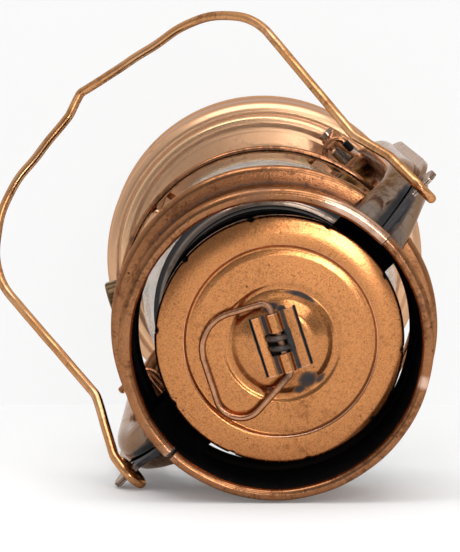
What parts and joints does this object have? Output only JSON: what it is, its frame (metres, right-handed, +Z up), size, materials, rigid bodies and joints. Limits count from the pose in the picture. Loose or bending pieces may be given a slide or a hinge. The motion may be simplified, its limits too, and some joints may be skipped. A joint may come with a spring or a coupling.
{
  "type": "hurricane lantern",
  "caption": "Tubular hurricane lantern in aged copper: stepped oil tank, bowed side tubes, glass globe with wire guard, crown band, sliding hood with lift ring and a wire bail.",
  "frame": {"origin": "centre of the tank's flat bottom, on the floor", "axes": "+Z up along the lantern's axis, +X towards the tube beside the wick knob, -Y the front, where the bail lies"},
  "size_m": [0.134, 0.1524, 0.262],
  "materials": {
    "copper": "aged copper plate on sheet steel, lacquered, darkened in the recesses",
    "soot": "heat-black enamel, sooty",
    "brass": "plain brass, dulled",
    "steel": "bare steel",
    "glass": "clear blown glass",
    "cotton": "woven cotton",
    "rubber": "soft black"
  },
  "bodies": {
    "frame": {"tank_bottom": "copper", "tank_shell": "copper", "air_chamber": "copper", "filler_neck": "brass", "burner_plate": "brass", "wick_tube": "brass", "burner_dome": "brass", "shaft_sleeve": "brass", "tube_right_front": "copper", "tube_right_back": "copper", "tube_left_front": "copper", "tube_left_back": "copper", "crown_front": "copper", "crown_back": "copper", "inlet_right": "soot", "inlet_left": "soot", "chimney_guide": "soot", "spring_bar": "soot", "lever_post": "copper", "hood_spring": "steel"},
    "gasket": {"filler_gasket": "rubber"},
    "filler_cap": {"filler_cap": "copper"},
    "wick": {"wick": "cotton"},
    "wick_drive": {"wick_shaft": "steel", "wick_knob": "brass"},
    "globe_carriage": {"globe_plate": "brass", "globe": "glass", "guard_ring": "copper", "hoop_front": "copper", "hoop_back": "copper", "guide_prongs": "copper"},
    "hood": {"hood_bell": "copper", "hood_chimney": "soot", "hood_cap": "copper", "ring_bracket": "copper", "spring_hook": "soot"},
    "lift_ring": {"lift_ring": "copper"},
    "lever": {"lift_lever": "copper"},
    "bail": {"bail": "copper"}
  },
  "joints": [
    {"name": "filler_lift", "type": "slide", "parent": "frame", "child": "gasket", "axis": [0, 0, 1], "range_m": [0, 0.00665]},
    {"name": "filler_turn", "type": "hinge", "parent": "gasket", "child": "filler_cap", "pos_m": [0.03451, 0.03451, 0.054], "axis": [0, 0, 1], "range_deg": [0, 990]},
    {"name": "wick_turn", "type": "hinge", "parent": "frame", "child": "wick_drive", "pos_m": [-0.00195, -0.00383, 0.055], "axis": [0.891, -0.454, 0], "range_deg": [0, 145]},
    {"name": "wick_rise", "type": "slide", "parent": "frame", "child": "wick", "axis": [0, 0, 1], "range_m": [0, 0.008]},
    {"name": "globe_lift", "type": "slide", "parent": "frame", "child": "globe_carriage", "axis": [0, 0, 1], "range_m": [0, 0.0115], "deforming": ["hood_spring"]},
    {"name": "lever_swing", "type": "hinge", "parent": "frame", "child": "lever", "pos_m": [-0.05, -0.016, 0.0704], "axis": [0, -1, 0], "range_deg": [0, 45.5]},
    {"name": "hood_lift", "type": "slide", "parent": "globe_carriage", "child": "hood", "axis": [0, 0, 1], "range_m": [0, 0.015], "stiffness_N_per_m": 120, "springref_m": -0.01, "deforming": ["hood_spring"]},
    {"name": "ring_flip", "type": "hinge", "parent": "hood", "child": "lift_ring", "pos_m": [-0.0012, 0.0008, 0.256], "axis": [-0.454, -0.891, 0], "range_deg": [0, 188]},
    {"name": "bail_swing", "type": "hinge", "parent": "frame", "child": "bail", "pos_m": [0, 0, 0.231], "axis": [-1, 0, 0], "range_deg": [-20, 225]}
  ],
  "couplings": [
    {"joint": "filler_lift", "follows": "filler_turn", "m_per_rad": 0.00038197},
    {"joint": "wick_rise", "follows": "wick_turn", "m_per_rad": 0.00315},
    {"joint": "lever_swing", "follows": "globe_lift", "rad_per_m": 68.295}
  ]
}
